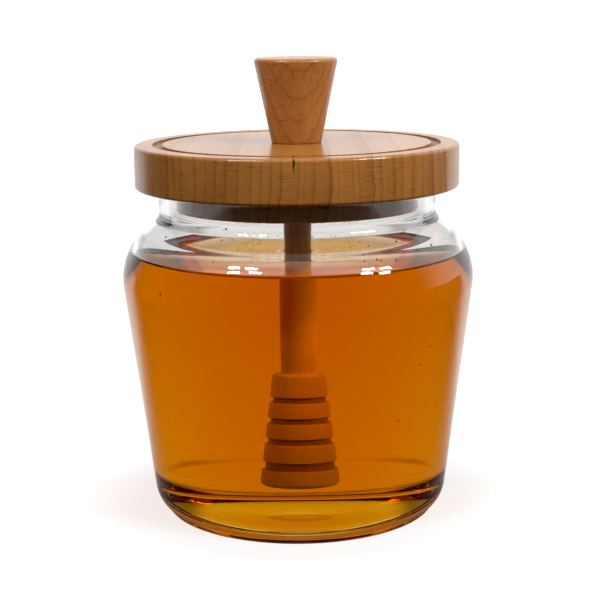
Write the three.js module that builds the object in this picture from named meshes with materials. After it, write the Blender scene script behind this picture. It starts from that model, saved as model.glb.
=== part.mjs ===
// A glass honey jar with a turned wooden lid, a knob and a dipper that stands in the honey.
// Millimetres, +Z up. The origin is the middle of the base, on the surface that the jar stands on.
import * as THREE from "three";

// Driving dimensions. Every piece is turned about the jar's axis, so each size is a radius or a height,
// and a lean is an angle in degrees from upright.
const jar = {
  rimHeight: 95.5,
  neckRadius: 40.3,
  neckFillet: 3.5,
  widestRadius: 51.3,
  widestHeight: 69,
  shoulderRound: 19,
  shoulderLean: 50,
  wallLean: 7.4,
  wall: 2.7,
  boreRadius: 36.8,
  boreFillet: 5.9,
  insideHeight: 71.5,
  insideRound: 12.5,
  insideLean: 50.6,
  lipRound: 1.6,
  heelRound: 9,
  heelCentreHeight: 8.2,
  heelLean: 48.5,
  footRadius: 39.9,
  footHeight: 1.4,
  footRound: 0.9,
  standingRingInner: 34.5,
  pushUpRadius: 33,
  pushUpHeight: 1.5,
  dimpleRadius: 6.5,
  dimpleDepth: 0.35,
  dimpleEdge: 3,
  floorHeight: 3.5,
  floorRound: 5,
};
const honey = { level: 76.5, gap: 0.3 };
const lid = {
  radius: 47,
  thickness: 12.5,
  edgeRound: 1,
  plugRadius: 35.4,
  plugDepth: 6,
  plugRound: 0.6,
  grooveOuter: 41.7,
  grooveInner: 38.8,
  grooveDepth: 2,
};
const knob = { height: 24.2, baseRadius: 7.3, topRadius: 11.95, baseRound: 0.4, topRound: 1 };
const dipper = {
  stickTopRadius: 4.05,
  stickEndRadius: 3.5,
  headTop: 45.5,
  headEnd: 11.4,
  headTopRadius: 5.15,
  headEndRadius: 7.85,
  headEndRound: 1.5,
  grooves: [
    { middle: 17.9, width: 2.5 },
    { middle: 25.4, width: 1.8 },
    { middle: 31.6, width: 1.75 },
    { middle: 37.8, width: 1.75 },
  ],
  grooveDepth: 0.6,
};
const sides = { jar: 48, lid: 48, knob: 36, dipper: 28 };

// Heights that follow from the sizes above.
const lidTop = jar.rimHeight + lid.thickness;
const plugEnd = jar.rimHeight - lid.plugDepth;

// Colours and finishes.
const glassClear = new THREE.MeshStandardMaterial({
  color: 0xe4e3df,
  roughness: 0.05,
  metalness: 0,
  transparent: true,
  opacity: 0.3,
});
const honeyAmber = new THREE.MeshStandardMaterial({
  color: 0xbe5a06,
  roughness: 0.05,
  metalness: 0,
  transparent: true,
  opacity: 0.8,
});
const lidBeech = new THREE.MeshStandardMaterial({ color: 0x9c6634, roughness: 0.45, metalness: 0 });
const knobBeech = new THREE.MeshStandardMaterial({ color: 0x9e6032, roughness: 0.45, metalness: 0 });
const dipperBeech = new THREE.MeshStandardMaterial({ color: 0x8a4a20, roughness: 0.5, metalness: 0 });

const point = (radius, height) => new THREE.Vector2(radius, height);
const radians = THREE.MathUtils.degToRad;

// A round stretch of an outline: angles in degrees, 0 pointing away from the axis and 90 upwards.
function arc(centre, radius, from, to, steps) {
  return Array.from({ length: steps + 1 }, (_, step) => {
    const angle = radians(from + ((to - from) * step) / steps);
    return point(centre.x + radius * Math.cos(angle), centre.y + radius * Math.sin(angle));
  });
}

// A solid of revolution about Z from an outline that runs anticlockwise, from the axis back to the axis
// or round to its own first point.
function turned(name, outline, sideCount, material) {
  const geometry = new THREE.LatheGeometry(outline, sideCount);
  geometry.rotateX(Math.PI / 2);
  const mesh = new THREE.Mesh(geometry, material);
  mesh.name = name;
  return mesh;
}

// The two faces of the glass from the widest part up: a round shoulder, its slope, and a hollow round up to
// the upright neck. The glass is thick at the neck and thin at the shoulder, so each face has its own rounds.
const outerFace = {
  centre: point(jar.widestRadius - jar.shoulderRound, jar.widestHeight),
  round: jar.shoulderRound,
  lean: jar.shoulderLean,
  neck: jar.neckRadius,
  fillet: jar.neckFillet,
};
const innerFace = {
  centre: point(jar.widestRadius - jar.wall - jar.insideRound, jar.insideHeight),
  round: jar.insideRound,
  lean: jar.insideLean,
  neck: jar.boreRadius,
  fillet: jar.boreFillet,
};
const onShoulder = (face, angle, gap) => arc(face.centre, face.round - gap, angle, angle, 1)[0];

// The hollow round touches the shoulder's slope and the upright neck.
function neckCentre(face) {
  const slope = radians(face.lean);
  const slopeTop = onShoulder(face, face.lean, 0);
  const radius = face.neck + face.fillet;
  const outwards = (radius - slopeTop.x) * Math.cos(slope);
  return point(radius, slopeTop.y + (face.fillet - outwards) / Math.sin(slope));
}

// A round that touches the straight wall from within, with its centre at the given height. The wall runs
// down from the lower end of the shoulder, moved in by the gap.
function touchingWall(face, height, radius, gap) {
  const lean = radians(jar.wallLean);
  const start = onShoulder(face, -jar.wallLean, gap);
  return point(start.x + ((height - start.y) * Math.sin(lean) - radius) / Math.cos(lean), height);
}

function upperSide(face) {
  return [
    ...arc(face.centre, face.round, -jar.wallLean, face.lean, 8),
    ...arc(neckCentre(face), face.fillet, 180 + face.lean, 180, 4),
  ];
}

// The bottom corner inside the jar: from the flat floor round to the wall.
function floorCorner(gap) {
  const height = jar.floorHeight + gap + jar.floorRound;
  return arc(touchingWall(innerFace, height, jar.floorRound, gap), jar.floorRound, -90, -jar.wallLean, 5);
}

function glassJar() {
  const footCentre = point(jar.footRadius - jar.footRound, jar.footRound);
  const heelCentre = touchingWall(outerFace, jar.heelCentreHeight, jar.heelRound, 0);
  const lipHeight = jar.rimHeight - jar.lipRound;
  const underside = [
    point(0, jar.pushUpHeight + jar.dimpleDepth),
    point(jar.dimpleRadius - jar.dimpleEdge, jar.pushUpHeight + jar.dimpleDepth),
    point(jar.dimpleRadius, jar.pushUpHeight),
    point(jar.pushUpRadius, jar.pushUpHeight),
    point(jar.standingRingInner, 0),
  ];
  const outside = [
    ...arc(footCentre, jar.footRound, -90, 0, 3),
    point(jar.footRadius, jar.footHeight),
    ...arc(heelCentre, jar.heelRound, -jar.heelLean, -jar.wallLean, 4),
    ...upperSide(outerFace),
  ];
  const lip = [
    ...arc(point(jar.neckRadius - jar.lipRound, lipHeight), jar.lipRound, 0, 90, 4),
    ...arc(point(jar.boreRadius + jar.lipRound, lipHeight), jar.lipRound, 90, 180, 4),
  ];
  const inside = [...upperSide(innerFace).reverse(), ...floorCorner(0).reverse()];
  const floor = [point(0, jar.floorHeight)];
  return turned("jar", [...underside, ...outside, ...lip, ...inside, ...floor], sides.jar, glassClear);
}

// The dipper's own outline from the end of its head up to the lid, or the same grown all round.
function dipperOutline(grow) {
  const headSlope = (dipper.headEndRadius - dipper.headTopRadius) / (dipper.headTop - dipper.headEnd);
  const headRadius = (height) => dipper.headEndRadius - (height - dipper.headEnd) * headSlope + grow;
  const end = dipper.headEnd - grow;
  const endCentre = point(headRadius(end) - dipper.headEndRound, end + dipper.headEndRound);
  const rings = dipper.grooves.map(({ middle, width }) => {
    const low = middle - width / 2 + grow;
    const high = middle + width / 2 - grow;
    return [
      point(headRadius(low), low),
      point(headRadius(low) - dipper.grooveDepth, low),
      point(headRadius(high) - dipper.grooveDepth, high),
      point(headRadius(high), high),
    ];
  });
  const top = dipper.headTop + grow;
  return [
    point(0, end),
    ...arc(endCentre, dipper.headEndRound, -90, 0, 3),
    ...rings.flat(),
    point(headRadius(top), top),
    point(dipper.stickEndRadius + grow, top),
  ];
}

function turnedDipper() {
  const outline = [...dipperOutline(0), point(dipper.stickTopRadius, plugEnd), point(0, plugEnd)];
  return turned("dipper", outline, sides.dipper, dipperBeech);
}

// The honey fills the jar up to its level and closes round the dipper.
function honeyFill() {
  const round = innerFace.round - honey.gap;
  const levelAngle = THREE.MathUtils.radToDeg(Math.asin((honey.level - innerFace.centre.y) / round));
  const outline = [
    point(0, jar.floorHeight + honey.gap),
    ...floorCorner(honey.gap),
    ...arc(innerFace.centre, round, -jar.wallLean, levelAngle, 6),
    point(dipper.stickTopRadius + honey.gap, honey.level),
    ...dipperOutline(honey.gap).reverse(),
  ];
  return turned("honey", outline, sides.jar, honeyAmber);
}

// A disc with a groove round its top, and a plug that drops into the jar's neck.
function turnedLid() {
  const edgeLow = point(lid.radius - lid.edgeRound, jar.rimHeight + lid.edgeRound);
  const edgeHigh = point(lid.radius - lid.edgeRound, lidTop - lid.edgeRound);
  const plugEdge = point(lid.plugRadius - lid.plugRound, plugEnd + lid.plugRound);
  const grooveMiddle = (lid.grooveOuter + lid.grooveInner) / 2;
  const grooveRound = (lid.grooveOuter - lid.grooveInner) / 2;
  const outline = [
    point(0, plugEnd),
    ...arc(plugEdge, lid.plugRound, -90, 0, 2),
    point(lid.plugRadius, jar.rimHeight),
    ...arc(edgeLow, lid.edgeRound, -90, 0, 3),
    ...arc(edgeHigh, lid.edgeRound, 0, 90, 3),
    point(lid.grooveOuter, lidTop),
    ...arc(point(grooveMiddle, lidTop - lid.grooveDepth + grooveRound), grooveRound, 0, -180, 6),
    point(lid.grooveInner, lidTop),
    point(0, lidTop),
  ];
  return turned("lid", outline, sides.lid, lidBeech);
}

function turnedKnob() {
  const top = lidTop + knob.height;
  const flare = THREE.MathUtils.radToDeg(Math.atan2(knob.topRadius - knob.baseRadius, knob.height));
  const outline = [
    point(0, lidTop),
    ...arc(point(knob.baseRadius - knob.baseRound, lidTop + knob.baseRound), knob.baseRound, -90, -flare, 2),
    ...arc(point(knob.topRadius - knob.topRound, top - knob.topRound), knob.topRound, -flare, 90, 4),
    point(0, top),
  ];
  return turned("knob", outline, sides.knob, knobBeech);
}

const honeyJar = new THREE.Group();
honeyJar.add(glassJar(), honeyFill(), turnedLid(), turnedKnob(), turnedDipper());

export default honeyJar;
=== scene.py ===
import math
import random

import bmesh
import bpy
from mathutils import Matrix, Vector


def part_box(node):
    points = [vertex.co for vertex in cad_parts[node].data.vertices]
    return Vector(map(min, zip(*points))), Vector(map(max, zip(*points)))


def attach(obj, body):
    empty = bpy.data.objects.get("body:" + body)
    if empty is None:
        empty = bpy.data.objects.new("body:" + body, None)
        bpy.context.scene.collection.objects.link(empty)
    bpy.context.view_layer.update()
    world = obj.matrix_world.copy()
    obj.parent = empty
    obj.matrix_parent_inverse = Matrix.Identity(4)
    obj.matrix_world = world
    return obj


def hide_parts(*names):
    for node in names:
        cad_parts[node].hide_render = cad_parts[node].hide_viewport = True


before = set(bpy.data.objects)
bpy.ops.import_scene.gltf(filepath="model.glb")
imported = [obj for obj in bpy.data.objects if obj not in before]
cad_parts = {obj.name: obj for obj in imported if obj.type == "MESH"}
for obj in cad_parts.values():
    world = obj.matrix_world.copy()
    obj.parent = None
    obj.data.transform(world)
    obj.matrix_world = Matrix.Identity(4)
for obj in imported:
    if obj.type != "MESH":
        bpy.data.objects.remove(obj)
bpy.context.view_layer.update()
mm = 0.001  # outlines are in millimetres, Blender is in metres

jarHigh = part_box("jar")[1]
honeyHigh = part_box("honey")[1]
lidLow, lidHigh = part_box("lid")
knobLow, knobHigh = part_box("knob")
dipperLow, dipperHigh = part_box("dipper")
print("frame loaded")


# outlines and turned meshes
def arcPoints(centre, radius, start, end, steps):
    points = []
    for step in range(steps + 1):
        angle = math.radians(start + (end - start) * step / steps)
        points.append((centre[0] + radius * math.cos(angle), centre[1] + radius * math.sin(angle)))
    return points


def withoutDoubles(outline):
    kept = [outline[0]]
    for spot in outline[1:]:
        if math.dist(spot, kept[-1]) > 1e-4:
            kept.append(spot)
    return kept


def turnMesh(name, outline, sides, materials, slotOf=None, closed=False, sharp=38):
    # outline runs anticlockwise as (radius, height); slotOf gives the material slot of a stretch
    outline = withoutDoubles(outline)
    verts = []
    rings = []
    for radius, height in outline:
        if radius < 1e-6:
            rings.append([len(verts)] * sides)
            verts.append((0, 0, height * mm))
            continue
        rings.append(range(len(verts), len(verts) + sides))
        for side in range(sides):
            angle = 2 * math.pi * side / sides
            verts.append((radius * mm * math.cos(angle), radius * mm * math.sin(angle), height * mm))
    faces = []
    slots = []
    stretches = len(rings) if closed else len(rings) - 1
    for index in range(stretches):
        low = rings[index]
        high = rings[(index + 1) % len(rings)]
        slot = slotOf(outline[index], outline[(index + 1) % len(outline)]) if slotOf else 0
        for side in range(sides):
            after = (side + 1) % sides
            corners = [low[side], low[after], high[after], high[side]]
            face = list(dict.fromkeys(corners))
            if len(face) > 2:
                faces.append(face)
                slots.append(slot)
    mesh = bpy.data.meshes.new(name)
    mesh.from_pydata(verts, [], faces)
    for material in materials:
        mesh.materials.append(material)
    mesh.polygons.foreach_set("material_index", slots)
    mesh.shade_smooth()
    mesh.set_sharp_from_angle(angle=math.radians(sharp))
    piece = bpy.data.objects.new(name, mesh)
    bpy.context.scene.collection.objects.link(piece)
    return piece


# node helpers
def addNode(tree, kind, inputs=None, **settings):
    node = tree.nodes.new("ShaderNode" + kind)
    for key, value in settings.items():
        setattr(node, key, value)
    for key, value in (inputs or {}).items():
        if isinstance(value, bpy.types.NodeSocket):
            tree.links.new(value, node.inputs[key])
        else:
            node.inputs[key].default_value = value
    return node


def sums(tree, operation, first, second=0.0, third=0.0):
    return addNode(tree, "Math", {0: first, 1: second, 2: third}, operation=operation).outputs[0]


def remap(tree, value, low, high, toLow=0.0, toHigh=1.0, smooth=False):
    kind = "SMOOTHSTEP" if smooth else "LINEAR"
    inputs = {0: value, 1: low, 2: high, 3: toLow, 4: toHigh}
    return addNode(tree, "MapRange", inputs, interpolation_type=kind).outputs[0]


def blendColour(tree, factor, first, second, kind="MIX"):
    inputs = {0: factor, 6: first, 7: second}
    return addNode(tree, "Mix", inputs, data_type="RGBA", blend_type=kind).outputs[2]


def blendValue(tree, factor, first, second):
    return addNode(tree, "Mix", {0: factor, 2: first, 3: second}, data_type="FLOAT").outputs[0]


def objectPlace(tree):
    return addNode(tree, "TexCoord").outputs["Object"]


def axesOf(tree, vector):
    return addNode(tree, "SeparateXYZ", {0: vector}).outputs


def fromAxis(tree, parts):
    # how far a point is from the upright axis
    flat = addNode(tree, "CombineXYZ", {0: parts[0], 1: parts[1]}).outputs[0]
    return addNode(tree, "VectorMath", {0: flat}, operation="LENGTH").outputs["Value"]


def stretched(tree, vector, scale):
    inputs = {0: vector, 1: scale}
    return addNode(tree, "VectorMath", inputs, operation="MULTIPLY").outputs[0]


def noiseAt(tree, vector, scale=1.0, detail=2.0, rough=0.5):
    inputs = {"Vector": vector, "Scale": scale, "Detail": detail, "Roughness": rough}
    return addNode(tree, "TexNoise", inputs)


def rampOf(tree, factor, stops):
    node = addNode(tree, "ValToRGB", {0: factor})
    elements = node.color_ramp.elements
    while len(elements) < len(stops):
        elements.new(0.5)
    for element, (place, value) in zip(elements, stops):
        element.position = place
        element.color = (value, value, value, 1)
    return node.outputs[0]


def newMaterial(name):
    material = bpy.data.materials.new(name)
    material.use_nodes = True
    tree = material.node_tree
    return material, tree, tree.nodes["Principled BSDF"], tree.nodes["Material Output"]


# beech grain, shared by lid, knob and dipper
def makeGrainGroup():
    group = bpy.data.node_groups.new("beechGrain", "ShaderNodeTree")
    face = group.interface
    face.new_socket("Point", in_out="INPUT", socket_type="NodeSocketVector")
    for name in ("Ring width", "Wobble", "Ring depth", "Fleck depth"):
        face.new_socket(name, in_out="INPUT", socket_type="NodeSocketFloat")
    for name in ("Pale", "Deep"):
        face.new_socket(name, in_out="INPUT", socket_type="NodeSocketColor")
    face.new_socket("Colour", in_out="OUTPUT", socket_type="NodeSocketColor")
    face.new_socket("Roughness", in_out="OUTPUT", socket_type="NodeSocketFloat")
    face.new_socket("Relief", in_out="OUTPUT", socket_type="NodeSocketFloat")
    given = group.nodes.new("NodeGroupInput").outputs
    result = group.nodes.new("NodeGroupOutput").inputs

    # the point is in millimetres from the heart of the tree, with Z along the grain
    drift = noiseAt(group, stretched(group, given["Point"], (0.05, 0.05, 0.018)), detail=1.0).outputs[1]
    centred = addNode(group, "VectorMath", {0: drift, 1: (0.5, 0.5, 0.5)}, operation="SUBTRACT")
    scaled = addNode(group, "VectorMath", {0: centred.outputs[0]}, operation="SCALE")
    group.links.new(given["Wobble"], scaled.inputs["Scale"])
    moved = addNode(group, "VectorMath", {0: given["Point"], 1: scaled.outputs[0]}, operation="ADD")
    ripple = noiseAt(group, stretched(group, given["Point"], (0.3, 0.3, 0.3)), detail=2.0).outputs[1]
    moved = addNode(group, "VectorMath", {0: ripple, 1: (0.9, 0.9, 0.9), 2: moved.outputs[0]},
                    operation="MULTIPLY_ADD")
    parts = axesOf(group, moved.outputs[0])
    outwards = fromAxis(group, parts)
    around = sums(group, "MULTIPLY", sums(group, "ARCTAN2", parts[1], parts[0]), outwards)

    # year rings of uneven width, each ending in a thin dark line
    spread = addNode(group, "TexNoise", {"W": outwards, "Scale": 0.21, "Detail": 1.0}, noise_dimensions="1D")
    years = sums(group, "DIVIDE", outwards, given["Ring width"])
    years = sums(group, "MULTIPLY_ADD", spread.outputs[0], 1.7, years)
    ringPlace = sums(group, "FRACT", years)
    stops = ((0.0, 0.0), (0.5, 0.1), (0.82, 0.34), (0.93, 1.0), (0.975, 0.8), (1.0, 0.0))
    ringLine = rampOf(group, ringPlace, stops)
    yearTone = addNode(group, "TexWhiteNoise", {"W": sums(group, "FLOOR", years)}, noise_dimensions="1D")

    # fibres and pores run along the grain, rays run from the heart outwards
    fibre = noiseAt(group, stretched(group, given["Point"], (4.5, 4.5, 0.14)), detail=3.0).outputs[0]
    pore = noiseAt(group, stretched(group, given["Point"], (9.0, 9.0, 0.75)), detail=1.0).outputs[0]
    pores = remap(group, pore, 0.62, 0.74)
    rayPoint = addNode(group, "CombineXYZ", {0: outwards, 1: around, 2: parts[2]}).outputs[0]
    ray = noiseAt(group, stretched(group, rayPoint, (0.13, 3.4, 0.5)), detail=1.5).outputs[0]
    rays = remap(group, ray, 0.58, 0.7)
    cloud = noiseAt(group, stretched(group, given["Point"], (0.09, 0.09, 0.02)), detail=2.0).outputs[0]

    tone = sums(group, "MULTIPLY", ringLine, given["Ring depth"])
    tone = sums(group, "MULTIPLY_ADD", yearTone.outputs[0], 0.2, tone)
    tone = sums(group, "MULTIPLY_ADD", fibre, 0.42, tone)
    tone = sums(group, "MULTIPLY_ADD", cloud, 0.5, tone)
    tone = sums(group, "SUBTRACT", tone, 0.42)
    speck = sums(group, "MULTIPLY", sums(group, "MAXIMUM", pores, rays), given["Fleck depth"])
    tone = sums(group, "ADD", tone, speck)
    toned = remap(group, tone, 0.0, 1.0)
    group.links.new(blendColour(group, toned, given["Pale"], given["Deep"]), result["Colour"])
    group.links.new(remap(group, tone, 0.0, 1.0, 0.3, 0.46), result["Roughness"])
    dips = sums(group, "MULTIPLY_ADD", pores, 0.6, sums(group, "MULTIPLY", rays, 0.35))
    dips = sums(group, "MULTIPLY_ADD", ringLine, 0.3, dips)
    group.links.new(sums(group, "SUBTRACT", sums(group, "MULTIPLY", fibre, 0.6), dips), result["Relief"])
    return group


grainGroup = makeGrainGroup()


def beechMaterial(name, look):
    material, tree, shader, _ = newMaterial(name)
    place = objectPlace(tree)
    mapping = addNode(tree, "Mapping", {"Vector": place, "Scale": (1000, 1000, 1000)}, vector_type="POINT")
    mapping.inputs["Rotation"].default_value = [math.radians(turn) for turn in look["turn"]]
    mapping.inputs["Location"].default_value = look["heart"]
    grain = tree.nodes.new("ShaderNodeGroup")
    grain.node_tree = grainGroup
    tree.links.new(mapping.outputs[0], grain.inputs["Point"])
    grain.inputs["Ring width"].default_value = look["ringWidth"]
    grain.inputs["Wobble"].default_value = look["wobble"]
    grain.inputs["Ring depth"].default_value = look["ringDepth"]
    grain.inputs["Fleck depth"].default_value = look["fleckDepth"]
    grain.inputs["Pale"].default_value = (*look["pale"], 1)
    grain.inputs["Deep"].default_value = (*look["deep"], 1)
    bump = addNode(tree, "Bump", {"Height": grain.outputs["Relief"], "Strength": look["bump"]})
    bump.inputs["Distance"].default_value = 0.0001
    colour = grain.outputs["Colour"]
    # painted shade, darker towards the bottom, and a painted glow higher up, for wood that stands in the
    # honey
    if "paintedShadeAndGlow" in look:
        paintedShadeAndGlow = look["paintedShadeAndGlow"]
        height = axesOf(tree, place)[2]
        low, high, least = paintedShadeAndGlow["shade"]
        share = remap(tree, height, low, high, least, 1.0)
        colour = blendColour(tree, 1.0, colour, share, "MULTIPLY")
        lit = remap(tree, height, *paintedShadeAndGlow["glowFrom"], smooth=True)
        glow = blendColour(tree, lit, (0, 0, 0, 1), (*paintedShadeAndGlow["glow"], 1))
        tree.links.new(glow, shader.inputs["Emission Color"])
        shader.inputs["Emission Strength"].default_value = 1.0
    if "crack" in look:
        crack = look["crack"]
        sway = crack["sway"]
        half = crack["halfWidth"]
        parts = axesOf(tree, place)
        bend = noiseAt(tree, place, crack["bends"], 1.0).outputs[0]
        bent = sums(tree, "SUBTRACT", parts[0], crack["across"] + sway / 2)
        bent = sums(tree, "MULTIPLY_ADD", bend, sway, bent)
        gape = remap(tree, sums(tree, "ABSOLUTE", bent), half * 0.4, half * 1.6, 1.0, 0.0, smooth=True)
        end = lidHigh.z - crack["length"]
        reach = remap(tree, parts[2], end, lidHigh.z - crack["length"] * 0.3, smooth=True)
        front = sums(tree, "LESS_THAN", parts[1], 0.0)
        cracked = sums(tree, "MULTIPLY", sums(tree, "MULTIPLY", gape, reach), front)
        colour = blendColour(tree, cracked, colour, (*crack["colour"], 1))
    tree.links.new(colour, shader.inputs["Base Color"])
    tree.links.new(grain.outputs["Roughness"], shader.inputs["Roughness"])
    tree.links.new(bump.outputs[0], shader.inputs["Normal"])
    shader.inputs["Specular IOR Level"].default_value = look["gloss"]
    shader.inputs["Coat Weight"].default_value = look["oil"]
    shader.inputs["Coat Roughness"].default_value = look["oilRoughness"]
    return material


# glass
glassLook = {
    "ior": 1.5,
    "tint": (0.94, 0.94, 0.93),
    "softTint": (0.97, 0.97, 0.97),
    "markRoughness": 0.45,  # the mark in the middle of the base is not polished
}


def glassMaterial(name, ior, tint=(1.0, 1.0, 1.0)):
    material, tree, shader, output = newMaterial(name)
    shader.inputs["Base Color"].default_value = (*tint, 1)
    shader.inputs["Roughness"].default_value = 0.0
    shader.inputs["IOR"].default_value = ior
    shader.inputs["Transmission Weight"].default_value = 1.0
    # soft light and shadows pass straight through, which keeps the inside free of noise
    rays = addNode(tree, "LightPath").outputs
    clear = addNode(tree, "BsdfTransparent", {"Color": (*glassLook["softTint"], 1)}).outputs[0]
    mixed = shader.outputs[0]
    for kind in ("Is Diffuse Ray", "Is Shadow Ray"):
        mixed = addNode(tree, "MixShader", {0: rays[kind], 1: mixed, 2: clear}).outputs[0]
    tree.links.new(mixed, output.inputs["Surface"])
    return material, tree, shader, output


jarShape = {
    "widestRadius": jarHigh.x / mm,
    "widestHeight": 69.0,
    "rimHeight": jarHigh.z / mm,
    "neckRadius": 40.3,
    "neckFillet": 3.5,
    "shoulderRound": 19.0,
    "shoulderLean": 50.0,
    "wallLean": 7.4,
    "wall": 2.7,
    "boreRadius": 36.8,
    "boreFillet": 5.9,
    "insideHeight": 71.5,
    "insideRound": 12.5,
    "insideLean": 50.6,
    "lipRound": 1.6,
    "heelRound": 9.0,
    "heelCentreHeight": 8.2,
    "heelLean": 48.5,
    "footRadius": 39.9,
    "footHeight": 1.4,
    "footRound": 0.9,
    "standingRingInner": 34.5,
    "pushUpRadius": 33.0,
    "pushUpHeight": 1.5,
    "dimpleRadius": 6.5,
    "dimpleDepth": 0.35,
    "dimpleEdge": 3.0,
    "floorHeight": 3.5,
    "floorRound": 5.0,
    "sides": 180,
}
# the glass is thick at the neck and thin at the shoulder, so its two faces have rounds of their own
outerSide = {
    "centre": (jarShape["widestRadius"] - jarShape["shoulderRound"], jarShape["widestHeight"]),
    "round": jarShape["shoulderRound"],
    "lean": jarShape["shoulderLean"],
    "neck": jarShape["neckRadius"],
    "fillet": jarShape["neckFillet"],
}
insideRadius = jarShape["widestRadius"] - jarShape["wall"] - jarShape["insideRound"]
innerSide = {
    "centre": (insideRadius, jarShape["insideHeight"]),
    "round": jarShape["insideRound"],
    "lean": jarShape["insideLean"],
    "neck": jarShape["boreRadius"],
    "fillet": jarShape["boreFillet"],
}


def shoulderArc(side, start, end, steps, inset=0.0):
    return arcPoints(side["centre"], side["round"] - inset, start, end, steps)


def neckArc(side, steps):
    # the hollow round that touches the shoulder's slope and the upright neck
    slope = math.radians(side["lean"])
    top = shoulderArc(side, side["lean"], side["lean"], 1)[0]
    radius = side["neck"] + side["fillet"]
    outwards = (radius - top[0]) * math.cos(slope)
    height = top[1] + (side["fillet"] - outwards) / math.sin(slope)
    return arcPoints((radius, height), side["fillet"], 180 + side["lean"], 180, steps)


def touchingWall(side, height, radius, inset=0.0):
    lean = math.radians(jarShape["wallLean"])
    start = shoulderArc(side, -jarShape["wallLean"], -jarShape["wallLean"], 1, inset)[0]
    return start[0] + ((height - start[1]) * math.sin(lean) - radius) / math.cos(lean), height


def floorCorner(inset, steps):
    height = jarShape["floorHeight"] + inset + jarShape["floorRound"]
    centre = touchingWall(innerSide, height, jarShape["floorRound"], inset)
    return arcPoints(centre, jarShape["floorRound"], -90, -jarShape["wallLean"], steps)


def levelAngle(inset, height):
    return math.degrees(math.asin((height - innerSide["centre"][1]) / (innerSide["round"] - inset)))


# honey level and the way it climbs the glass and the stick
honeyShape = {
    "level": honeyHigh.z / mm - 1.0,
    "intoWall": 0.15,
    "intoWood": 0.1,
    "wallClimb": 1.6,
    "stickClimb": 0.9,
    "climbReach": 1.1,
    "edgeReach": 1.8,
    "skinDepth": 1.0,
    "absorbColour": (0.9445, 0.782, 0.0),
    "absorbDensity": 110.0,
    "skinIor": 1.16,
    "edgeIor": 1.49,
    # painted glow: emission on the skin that stands in for light the honey scatters back up, in the middle
    # and brighter near the glass
    "paintedGlowColour": (0.03, 0.014, 0.006),
    "paintedGlowEdge": (0.2, 0.072, 0.012),
    "paintedGlowFrom": (0.03, 0.042),  # metres from the axis
    "paintedGlowBack": (0.012, 0.03),  # metres: further back than this, the part near the glass is as the middle
}
contactHeight = honeyShape["level"] + honeyShape["wallClimb"]

clearGlass = glassMaterial("clearGlass", glassLook["ior"], glassLook["tint"])[0]
markGlass, _, markShader, _ = glassMaterial("markGlass", glassLook["ior"], glassLook["tint"])
markShader.inputs["Roughness"].default_value = glassLook["markRoughness"]
# honey and glass bend light alike, so nothing shows where they meet
wetGlass = glassMaterial("wetGlass", 1.0)[0]


def makeJar():
    shape = jarShape
    foot = (shape["footRadius"] - shape["footRound"], shape["footRound"])
    heel = touchingWall(outerSide, shape["heelCentreHeight"], shape["heelRound"])
    lipHeight = shape["rimHeight"] - shape["lipRound"]
    underside = [
        (0, shape["pushUpHeight"] + shape["dimpleDepth"]),
        (shape["dimpleRadius"] - shape["dimpleEdge"], shape["pushUpHeight"] + shape["dimpleDepth"]),
        (shape["dimpleRadius"], shape["pushUpHeight"]),
        (shape["pushUpRadius"], shape["pushUpHeight"]),
        (shape["standingRingInner"], 0),
    ]
    outside = arcPoints(foot, shape["footRound"], -90, 0, 8)
    outside.append((shape["footRadius"], shape["footHeight"]))
    outside += arcPoints(heel, shape["heelRound"], -shape["heelLean"], -shape["wallLean"], 16)
    outside += shoulderArc(outerSide, -shape["wallLean"], outerSide["lean"], 44)
    outside += neckArc(outerSide, 20)
    lip = arcPoints((shape["neckRadius"] - shape["lipRound"], lipHeight), shape["lipRound"], 0, 90, 10)
    lip += arcPoints((shape["boreRadius"] + shape["lipRound"], lipHeight), shape["lipRound"], 90, 180, 10)
    wetAngle = levelAngle(0, contactHeight)
    inside = floorCorner(0, 18)
    inside += shoulderArc(innerSide, -shape["wallLean"], wetAngle, 26)
    inside += shoulderArc(innerSide, wetAngle, innerSide["lean"], 24)
    inside += neckArc(innerSide, 26)
    inside.reverse()
    floor = [(0, shape["floorHeight"])]
    innerSpots = set(inside + floor)

    def slotOf(start, end):
        if start == underside[1]:
            return 2  # the slope of the mark
        wet = start in innerSpots and end in innerSpots and max(start[1], end[1]) < contactHeight + 0.01
        return 1 if wet else 0

    piece = turnMesh("jarGlass", underside + outside + lip + inside + floor, shape["sides"],
                     [clearGlass, wetGlass, markGlass], slotOf)
    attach(piece, "root")
    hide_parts("jar")


makeJar()
print("jar made")

# dipper
dipperShape = {
    "top": dipperHigh.z / mm,
    "stickTopRadius": 4.05,
    "stickEndRadius": 3.5,
    "headTop": 45.5,
    "headEnd": dipperLow.z / mm,
    "headTopRadius": 5.15,
    "headEndRadius": dipperHigh.x / mm,
    "headEndRound": 2.0,
    "headTopRound": 1.0,
    "grooves": ((17.9, 2.5), (25.4, 1.8), (31.6, 1.75), (37.8, 1.75)),  # middle and width, lowest first
    "grooveDepth": 0.6,
    "edgeRound": 0.25,
    "sides": 96,
}


def roundedCorners(corners, steps):
    # each corner is (radius, height, rounding) and turns into a small arc
    path = [corners[0][:2]]
    for before, corner, after in zip(corners, corners[1:], corners[2:]):
        middle = Vector(corner[:2])
        toBefore = Vector(before[:2]) - middle
        toAfter = Vector(after[:2]) - middle
        cut = min(corner[2], toBefore.length * 0.45, toAfter.length * 0.45)
        start = middle + toBefore.normalized() * cut
        end = middle + toAfter.normalized() * cut
        for step in range(steps + 1):
            share = step / steps
            spot = start * (1 - share) ** 2 + middle * 2 * share * (1 - share) + end * share ** 2
            path.append(tuple(spot))
    path.append(corners[-1][:2])
    return path


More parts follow.
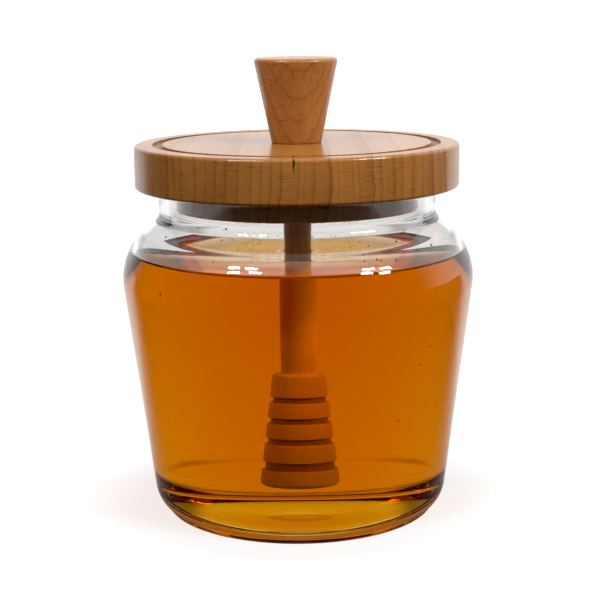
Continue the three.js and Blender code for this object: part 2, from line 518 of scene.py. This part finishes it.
def dipperHead(grow):
    shape = dipperShape
    slope = (shape["headEndRadius"] - shape["headTopRadius"]) / (shape["headTop"] - shape["headEnd"])
    edge = shape["edgeRound"]

    def headRadius(height):
        return shape["headEndRadius"] - (height - shape["headEnd"]) * slope + grow

    end = shape["headEnd"] - grow
    corners = [(0, end, 0), (headRadius(end), end, shape["headEndRound"])]
    for middle, width in shape["grooves"]:
        low = middle - width / 2 + grow
        high = middle + width / 2 - grow
        corners += [
            (headRadius(low), low, edge),
            (headRadius(low) - shape["grooveDepth"], low, edge),
            (headRadius(high) - shape["grooveDepth"], high, edge),
            (headRadius(high), high, edge),
        ]
    top = shape["headTop"] + grow
    corners += [(headRadius(top), top, shape["headTopRound"]), (shape["stickEndRadius"] + grow, top, edge)]
    return corners


dipperLook = {
    "turn": (0, 0, 0),
    "heart": (9.0, -3.0, 0.0),
    "ringWidth": 1.6,
    "wobble": 2.0,
    "ringDepth": 0.4,
    "fleckDepth": 0.3,
    "pale": (0.6, 0.33, 0.15),
    "deep": (0.35, 0.16, 0.06),
    "gloss": 0.3,
    "oil": 0.0,
    "oilRoughness": 0.1,
    "bump": 0.5,
}
paintedLightLook = {
    **dipperLook,
    # paler, yellower wood under the honey, a lit copy of the dipper's wood that stands in for light reaching
    # it through the honey
    "pale": (0.95, 0.85, 0.5),
    "deep": (0.85, 0.7, 0.37),
    "paintedShadeAndGlow": {
        "shade": (0.012, 0.06, 0.45),  # painted shade: metres from the base, and how dark it gets down there
        # painted glow on the stick above the head: emission that stands in for light the honey scatters,
        # rising between these heights in metres
        "glow": (0.13, 0.02, 0.0),
        "glowFrom": (0.046, 0.056),
    },
}
# the grooves get darker wood, with the same painted shade and painted glow
grooveLook = {**paintedLightLook, "pale": (0.42, 0.33, 0.2), "deep": (0.34, 0.25, 0.13)}


def makeDipper():
    shape = dipperShape
    level = honeyShape["level"]
    share = (level - shape["headTop"]) / (shape["top"] - shape["headTop"])
    atLevel = shape["stickEndRadius"] + (shape["stickTopRadius"] - shape["stickEndRadius"]) * share
    corners = dipperHead(0) + [(atLevel, level, 0), (shape["stickTopRadius"], shape["top"], 0)]
    outline = roundedCorners(corners, 5) + [(0, shape["top"])]
    materials = [
        beechMaterial("dipperBeech", dipperLook),
        beechMaterial("paintedLightBeech", paintedLightLook),
        beechMaterial("grooveBeech", grooveLook),
    ]

    def slotOf(start, end):
        if min(start[1], end[1]) > level - 0.1:
            return 0
        height = (start[1] + end[1]) / 2
        cut = any(abs(height - middle) < width / 2 for middle, width in shape["grooves"])
        return 2 if cut else 1

    piece = turnMesh("dipperWood", outline, shape["sides"], materials, slotOf)
    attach(piece, "root")
    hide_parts("dipper")


makeDipper()
print("dipper made")


# honey: a body that only takes up light, and a skin on top that bends and mirrors it and carries a painted
# glow
def honeySurface(steps):
    # from the glass in to the stick, climbing at both ends
    shape = honeyShape
    angle = levelAngle(-shape["intoWall"], contactHeight)
    edge = shoulderArc(innerSide, angle, angle, 1, -shape["intoWall"])[0][0]
    stick = dipperShape["stickTopRadius"] - shape["intoWood"]
    points = []
    for step in range(steps + 1):
        share = 0.5 - 0.5 * math.cos(math.pi * step / steps)  # closer together near both ends
        radius = edge + (stick - edge) * share
        rise = shape["wallClimb"] * math.exp(-(edge - radius) / shape["climbReach"])
        rise += shape["stickClimb"] * math.exp(-(radius - stick) / shape["climbReach"])
        points.append((radius, shape["level"] + rise))
    return points


def makeHoney():
    shape = honeyShape
    inset = -shape["intoWall"]
    material, tree, _, output = glassMaterial("honeyBody", 1.0)
    inside = addNode(tree, "VolumeAbsorption")
    inside.inputs["Color"].default_value = (*shape["absorbColour"], 1)
    inside.inputs["Density"].default_value = shape["absorbDensity"]
    tree.links.new(inside.outputs[0], output.inputs["Volume"])
    surface = honeySurface(80)
    outline = [(0, jarShape["floorHeight"] - shape["intoWall"])]
    outline += floorCorner(inset, 18)
    outline += shoulderArc(innerSide, -jarShape["wallLean"], levelAngle(inset, contactHeight), 26, inset)
    outline += [(radius, height - 0.02) for radius, height in surface[1:]]
    outline += roundedCorners(dipperHead(-shape["intoWood"]), 5)[::-1]
    body = turnMesh("honeyBody", outline, jarShape["sides"], [material])
    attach(body, "root")
    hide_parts("honey")

    skinUnder = glassMaterial("honeySkinUnder", 1.0)[0]
    skinTop, tree, shader, _ = glassMaterial("honeySkin", shape["skinIor"])
    # painted glow on the top of the skin, brighter near the glass at the front, none on its underside
    parts = axesOf(tree, objectPlace(tree))
    nearGlass = remap(tree, fromAxis(tree, parts), *shape["paintedGlowFrom"], smooth=True)
    inFront = remap(tree, parts[1], *shape["paintedGlowBack"], 1.0, 0.0, smooth=True)
    nearGlass = sums(tree, "MULTIPLY", nearGlass, inFront)
    glow = blendColour(tree, nearGlass, (*shape["paintedGlowColour"], 1), (*shape["paintedGlowEdge"], 1))
    below = addNode(tree, "NewGeometry").outputs["Backfacing"]
    tree.links.new(blendColour(tree, below, glow, (0, 0, 0, 1)), shader.inputs["Emission Color"])
    shader.inputs["Emission Strength"].default_value = 1.0
    skinEdge = glassMaterial("honeySkinEdge", shape["edgeIor"])[0]
    under = [(radius, height - shape["skinDepth"]) for radius, height in surface[::-1]]
    tops = set(surface)
    inner = surface[-1][0] + shape["edgeReach"]
    outer = surface[0][0] - shape["edgeReach"]

    def slotOf(start, end):
        if start not in tops or end not in tops:
            return 1
        return 0 if inner < start[0] < outer else 2

    materials = [skinTop, skinUnder, skinEdge]
    skin = turnMesh("honeySkin", surface + under, jarShape["sides"], materials, slotOf, closed=True)
    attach(skin, "root")


makeHoney()
print("honey made")

# drops and specks that the honey left on the glass above it, foam at its far edge, and bubbles in it
speckLook = {
    "seed": 11,
    "drops": 24,  # scattered over the front of the neck and shoulder, on both sides
    "dropTurns": (22.0, 60.0),  # degrees from the front
    "dropHeights": (79.0, 88.0),
    "foam": 110,
    "foamTurns": (-27.0, 27.0),  # degrees from the back
    "foamRise": (0.3, 4.2),
    "bubbles": 14,
    "bubbleTurns": (-60.0, 60.0),
    "bubbleLow": 25.0,
    "bubbleTop": 3.0,  # below the honey's level
    "bubbleDepth": (3.0, 14.0),  # in from the glass
    "bubbleIor": 0.67,
    "sizes": (0.17, 0.38),
    "colour": (0.035, 0.012, 0.004),
    "paler": 2.2,
    "patches": 900.0,
    "roughness": 0.3,
}


def insideRadiusAt(height):
    # how far the glass is from the axis, at and above the honey's edge
    path = shoulderArc(innerSide, 0, innerSide["lean"], 24) + neckArc(innerSide, 26)
    for low, high in zip(path, path[1:]):
        if low[1] <= height <= high[1]:
            share = (height - low[1]) / (high[1] - low[1])
            return low[0] + (high[0] - low[0]) * share
    return innerSide["neck"]


def dotsMesh(name, spots, material):
    # each spot is (turn from the front in degrees, radius, height, size)
    shape = bmesh.new()
    for turn, radius, height, size in spots:
        angle = math.radians(turn)
        place = Vector((math.sin(angle) * radius, -math.cos(angle) * radius, height)) * mm
        bmesh.ops.create_icosphere(shape, subdivisions=1, radius=size * mm, matrix=Matrix.Translation(place))
    mesh = bpy.data.meshes.new(name)
    shape.to_mesh(mesh)
    shape.free()
    mesh.shade_smooth()
    mesh.materials.append(material)
    piece = bpy.data.objects.new(name, mesh)
    bpy.context.scene.collection.objects.link(piece)
    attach(piece, "root")


def makeSpecks():
    look = speckLook
    chance = random.Random(look["seed"])
    spots = []
    for _ in range(look["drops"]):
        height = chance.uniform(*look["dropHeights"])
        turn = chance.choice((-1, 1)) * chance.uniform(*look["dropTurns"])
        spots.append((turn, insideRadiusAt(height), height, chance.uniform(*look["sizes"])))
    least, most = look["foamRise"]
    for _ in range(look["foam"]):
        height = contactHeight + least + (most - least) * chance.random() ** 2  # densest at the edge
        turn = 180 + chance.uniform(*look["foamTurns"])
        spots.append((turn, insideRadiusAt(height), height, chance.uniform(*look["sizes"])))
    material, tree, shader, _ = newMaterial("driedHoney")
    patchy = remap(tree, noiseAt(tree, objectPlace(tree), look["patches"]).outputs[0], 0.3, 0.7)
    paler = tuple(look["paler"] * share for share in look["colour"])
    tone = blendColour(tree, patchy, (*look["colour"], 1), (*paler, 1))
    tree.links.new(tone, shader.inputs["Base Color"])
    shader.inputs["Roughness"].default_value = look["roughness"]
    dotsMesh("honeySpecks", spots, material)

    spots = []
    widest = innerSide["centre"][1]
    for _ in range(look["bubbles"]):
        height = chance.uniform(look["bubbleLow"], honeyShape["level"] - look["bubbleTop"])
        radius = insideRadiusAt(widest) - chance.uniform(*look["bubbleDepth"])
        radius -= (widest - height) * math.tan(math.radians(jarShape["wallLean"]))
        spots.append((chance.uniform(*look["bubbleTurns"]), radius, height, chance.uniform(*look["sizes"])))
    dotsMesh("honeyBubbles", spots, glassMaterial("bubbleAir", look["bubbleIor"])[0])


makeSpecks()
print("specks made")

# lid
lidShape = {
    "radius": lidHigh.x / mm,
    "low": jarHigh.z / mm,
    "high": lidHigh.z / mm,
    "plugEnd": lidLow.z / mm,
    "plugRadius": 35.4,
    "edgeRound": 1.0,
    "plugRound": 0.6,
    "grooveOuter": 41.7,
    "grooveInner": 38.8,
    "grooveDepth": 2.0,
    "sides": 240,
}
lidLook = {
    "turn": (90, 0, 0),  # grain runs from front to back
    "heart": (160.0, 102.0, 0.0),
    "ringWidth": 2.9,
    "wobble": 3.0,
    "ringDepth": 0.5,
    "fleckDepth": 0.5,
    "crack": {  # in metres, down from the top at the front
        "across": -0.0008,
        "halfWidth": 0.00022,
        "length": 0.005,
        "sway": 0.0012,
        "bends": 320.0,
        "colour": (0.03, 0.01, 0.003),
    },
    "pale": (0.34, 0.135, 0.029),
    "deep": (0.145, 0.043, 0.006),
    "bump": 0.4,
    "gloss": 0.15,
    "oil": 0.6,
    "oilRoughness": 0.14,
}
# the flat top looks calmer and less oiled, and the crack stays at the edge
lidTopLook = {**lidLook, "ringDepth": 0.12, "fleckDepth": 0.12, "oil": 0.45}
lidTopLook.pop("crack")


def makeLid():
    shape = lidShape
    edge = shape["edgeRound"]
    middle = (shape["grooveOuter"] + shape["grooveInner"]) / 2
    half = (shape["grooveOuter"] - shape["grooveInner"]) / 2
    outline = [(0, shape["plugEnd"])]
    plugEdge = (shape["plugRadius"] - shape["plugRound"], shape["plugEnd"] + shape["plugRound"])
    outline += arcPoints(plugEdge, shape["plugRound"], -90, 0, 5)
    outline.append((shape["plugRadius"], shape["low"]))
    outline += arcPoints((shape["radius"] - edge, shape["low"] + edge), edge, -90, 0, 7)
    outline += arcPoints((shape["radius"] - edge, shape["high"] - edge), edge, 0, 90, 7)
    outline.append((shape["grooveOuter"], shape["high"]))
    outline += arcPoints((middle, shape["high"] - shape["grooveDepth"] + half), half, 0, -180, 14)
    outline.append((shape["grooveInner"], shape["high"]))
    outline.append((0, shape["high"]))
    materials = [beechMaterial("lidBeech", lidLook), beechMaterial("lidTopBeech", lidTopLook)]

    def slotOf(start, end):
        return 1 if min(start[1], end[1]) > shape["high"] - 0.01 else 0

    piece = turnMesh("lidWood", outline, shape["sides"], materials, slotOf)
    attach(piece, "root")
    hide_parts("lid")


makeLid()
print("lid made")

# knob
knobShape = {
    "low": knobLow.z / mm,
    "high": knobHigh.z / mm,
    "baseRadius": 7.3,
    "topRadius": 11.95,
    "baseRound": 0.4,
    "topRound": 1.0,
    "sides": 120,
}
knobLook = {
    "turn": (0, 0, 0),
    "heart": (0.5, -22.0, 0.0),
    "ringWidth": 1.5,
    "wobble": 1.6,
    "ringDepth": 0.36,
    "fleckDepth": 0.6,
    "pale": (0.4, 0.156, 0.042),
    "deep": (0.17, 0.049, 0.01),
    "bump": 0.4,
    "gloss": 0.15,
    "oil": 0.4,
    "oilRoughness": 0.16,
}


def makeKnob():
    shape = knobShape
    height = shape["high"] - shape["low"]
    flare = math.degrees(math.atan2(shape["topRadius"] - shape["baseRadius"], height))
    outline = [(0, shape["low"])]
    base = (shape["baseRadius"] - shape["baseRound"], shape["low"] + shape["baseRound"])
    top = (shape["topRadius"] - shape["topRound"], shape["high"] - shape["topRound"])
    outline += arcPoints(base, shape["baseRound"], -90, -flare, 4)
    outline += arcPoints(top, shape["topRound"], -flare, 90, 8)
    outline.append((0, shape["high"]))
    piece = turnMesh("knobWood", outline, shape["sides"], [beechMaterial("knobBeech", knobLook)])
    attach(piece, "root")
    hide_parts("knob")


makeKnob()
print("knob made")

# floor
floorLook = {
    "size": 6.0,
    "pale": (0.25, 0.25, 0.25),
    "dark": (0.02, 0.02, 0.02),
    "roughness": 0.9,
    "gloss": 0.1,
    "glow": 0.59,
    # glow as the camera sees it, close to the jar and further out, in metres from the axis; the weaker glow
    # close to the jar paints a little shade around its base and lets its real shadow show, the stronger glow
    # further out hides it
    "nearGlow": 0.58,
    "farGlow": 0.86,
    "farFrom": (0.045, 0.085),
    # from dark in front to pale behind, in metres, as the glass mirrors it and as it shows through the jar
    "mirrored": (-0.07, 0.03),
    "through": (-0.2, -0.13),
    "narrow": 0.8,  # how fast the pale part narrows towards the front, as the glass mirrors it
    # amber shade that the honey throws behind the jar, for light that left the glass this far away
    "shade": (0.32, 0.17, 0.05),
    "shadeFrom": (0.075, 0.088),
    "shadeTo": (0.115, 0.13),
    "shadeWidth": (0.035, 0.06),
    # and the same right under it
    "under": (0.35, 0.12, 0.02),
    "underWidth": (0.037, 0.06),
    "drop": 0.0001,
}


def makeFloor():
    look = floorLook
    half = look["size"] / 2
    mesh = bpy.data.meshes.new("floor")
    corners = [(-half, -half, 0), (half, -half, 0), (half, half, 0), (-half, half, 0)]
    mesh.from_pydata(corners, [], [(0, 1, 2, 3)])
    material, tree, shader, _ = newMaterial("floorPaper")
    parts = axesOf(tree, objectPlace(tree))
    aside = sums(tree, "ABSOLUTE", parts[0])
    outwards = fromAxis(tree, parts)
    rays = addNode(tree, "LightPath").outputs
    seenThrough = rays["Is Transmission Ray"]
    narrow = remap(tree, seenThrough, 0.0, 1.0, -look["narrow"], 0.0)
    depth = sums(tree, "MULTIPLY_ADD", aside, narrow, parts[1])
    behind = remap(tree, depth, *look["mirrored"], smooth=True)
    through = sums(tree, "MULTIPLY", remap(tree, parts[1], *look["through"], smooth=True), seenThrough)
    bright = sums(tree, "MAXIMUM", sums(tree, "MAXIMUM", behind, through), rays["Is Camera Ray"])
    tone = blendColour(tree, bright, (*look["dark"], 1), (*look["pale"], 1))
    tree.links.new(tone, shader.inputs["Base Color"])
    shader.inputs["Roughness"].default_value = look["roughness"]
    shader.inputs["Specular IOR Level"].default_value = look["gloss"]
    shown = remap(tree, outwards, *look["farFrom"], look["nearGlow"], look["farGlow"], smooth=True)
    glow = blendValue(tree, rays["Is Camera Ray"], look["glow"], shown)
    tree.links.new(sums(tree, "MULTIPLY", bright, glow), shader.inputs["Emission Strength"])
    shaded = remap(tree, rays["Ray Length"], *look["shadeFrom"], smooth=True)
    for value, limits in ((parts[1], look["shadeTo"]), (aside, look["shadeWidth"])):
        shaded = sums(tree, "MULTIPLY", shaded, remap(tree, value, *limits, 1.0, 0.0, smooth=True))
    shaded = sums(tree, "MULTIPLY", shaded, seenThrough)
    tint = blendColour(tree, shaded, (1, 1, 1, 1), (*look["shade"], 1))
    covered = remap(tree, outwards, *look["underWidth"], 1.0, 0.0, smooth=True)
    covered = sums(tree, "MULTIPLY", covered, seenThrough)
    tint = blendColour(tree, covered, tint, (*look["under"], 1))
    tree.links.new(tint, shader.inputs["Emission Color"])
    mesh.materials.append(material)
    piece = bpy.data.objects.new("floor", mesh)
    piece.location.z = -look["drop"]
    bpy.context.scene.collection.objects.link(piece)


makeFloor()
print("floor made")

# light: bright behind and above, dim in front, and two windows of four panes for the highlights
lightLook = {
    # as the camera sees it, also through the glass: low, higher up, above that, at its sides and in front
    "seen": 1.0,
    "seenHigh": 0.54,
    "seenTop": 0.9,
    "seenAside": 0.3,
    "seenFront": 0.06,
    # where each begins and ends, as a share of the view's direction
    "highFrom": (0.12, 0.19),
    "topFrom": (0.24, 0.32),
    "asideFrom": (0.4, 0.6),
    "frontTo": (-0.85, -0.3),
    # as it lights and mirrors in the part
    "back": 1.1,
    "front": 0.3,
    "mirroredFront": 0.05,
    "aside": 0.35,  # how far the bright back reaches round to the right
    "backFrom": (0.2, 0.7),
    "top": 0.9,
    "overheadFrom": (0.75, 0.95),
}
paneLook = {
    "target": (0, 0, 0.077),
    "distance": 6.0,
    "width": 7.0,  # degrees, as the jar sees one pane
    "height": 3.0,
    # each pane's turn to the right of the camera and its height, in degrees, and its strength
    "left": (((-56.2, 48.7), (-41.5, 51.4), (-51.0, 42.0), (-34.2, 45.6)), 89.0),
    "right": (((57.1, 42.8), (70.0, 38.8), (52.6, 37.2), (64.8, 33.2)), 132.0),
}


def makeWorld():
    look = lightLook
    world = bpy.data.worlds.new("studio")
    world.use_nodes = True
    tree = world.node_tree
    shader = tree.nodes["Background"]
    parts = axesOf(tree, addNode(tree, "TexCoord").outputs["Generated"])
    rays = addNode(tree, "LightPath").outputs
    spread = sums(tree, "MULTIPLY_ADD", parts[0], look["aside"], parts[1])
    front = remap(tree, rays["Is Glossy Ray"], 0.0, 1.0, look["front"], look["mirroredFront"])
    level = remap(tree, spread, *look["backFrom"], front, look["back"], smooth=True)
    overhead = remap(tree, parts[2], *look["overheadFrom"], 0.0, look["top"], smooth=True)
    level = sums(tree, "MAXIMUM", level, overhead)
    high = remap(tree, parts[2], *look["highFrom"], look["seen"], look["seenHigh"], smooth=True)
    away = remap(tree, sums(tree, "ABSOLUTE", parts[0]), *look["asideFrom"], smooth=True)
    top = remap(tree, away, 0.0, 1.0, look["seenTop"], look["seenAside"])
    high = blendValue(tree, remap(tree, parts[2], *look["topFrom"], smooth=True), high, top)
    shown = remap(tree, parts[1], *look["frontTo"], look["seenFront"], high, smooth=True)
    seen = sums(tree, "MAXIMUM", rays["Is Camera Ray"], rays["Is Transmission Ray"])
    level = blendValue(tree, seen, level, shown)
    tree.links.new(level, shader.inputs["Strength"])
    shader.inputs["Color"].default_value = (1, 1, 1, 1)
    bpy.context.scene.world = world


def makePanes():
    target = Vector(paneLook["target"])
    width = 2 * paneLook["distance"] * math.tan(math.radians(paneLook["width"] / 2))
    height = 2 * paneLook["distance"] * math.tan(math.radians(paneLook["height"] / 2))
    for window in ("left", "right"):
        panes, radiance = paneLook[window]
        headings = []
        for turn, rise in panes:
            flat = math.cos(math.radians(rise))
            aside = math.sin(math.radians(turn)) * flat
            ahead = math.cos(math.radians(turn)) * flat
            headings.append(Vector((aside, -ahead, math.sin(math.radians(rise)))))
        across = headings[1] - headings[0]
        for index, heading in enumerate(headings):
            light = bpy.data.lights.new("pane", "AREA")
            light.shape = "RECTANGLE"
            light.size = width
            light.size_y = height
            light.energy = radiance * math.pi * width * height
            lamp = bpy.data.objects.new(f"{window}Pane{index}", light)
            lamp.location = target + heading * paneLook["distance"]
            side = (across - heading * across.dot(heading)).normalized()
            lamp.rotation_euler = Matrix((side, heading.cross(side), heading)).transposed().to_euler()
            bpy.context.scene.collection.objects.link(lamp)


makeWorld()
makePanes()
print("light made")

# camera, as in the photograph
cameraLook = {
    "place": (0.0005, -0.4336, 0.1485),
    "pitch": 11.364,
    "roll": -0.627,
    "lens": 89.7,
}


def makeCamera():
    data = bpy.data.cameras.new("camera")
    data.lens = cameraLook["lens"]
    data.sensor_width = 36
    data.clip_start = 0.01
    data.clip_end = 100
    camera = bpy.data.objects.new("camera", data)
    camera.location = cameraLook["place"]
    tilt = Matrix.Rotation(math.radians(90 - cameraLook["pitch"]), 3, "X")
    roll = Matrix.Rotation(math.radians(cameraLook["roll"]), 3, "Z")
    camera.rotation_euler = (tilt @ roll).to_euler()
    bpy.context.scene.collection.objects.link(camera)
    bpy.context.scene.camera = camera


makeCamera()

# view, with the darkest tones as deep as in the photograph, and light paths
scene = bpy.context.scene
scene.view_settings.view_transform = "Standard"
scene.view_settings.use_curve_mapping = True
scene.view_settings.curve_mapping.black_level = (0.004, 0.004, 0.004)
scene.view_settings.curve_mapping.update()
scene.cycles.max_bounces = 32
scene.cycles.transmission_bounces = 24
scene.cycles.glossy_bounces = 8
scene.cycles.sample_clamp_indirect = 4.0

print("scene made")
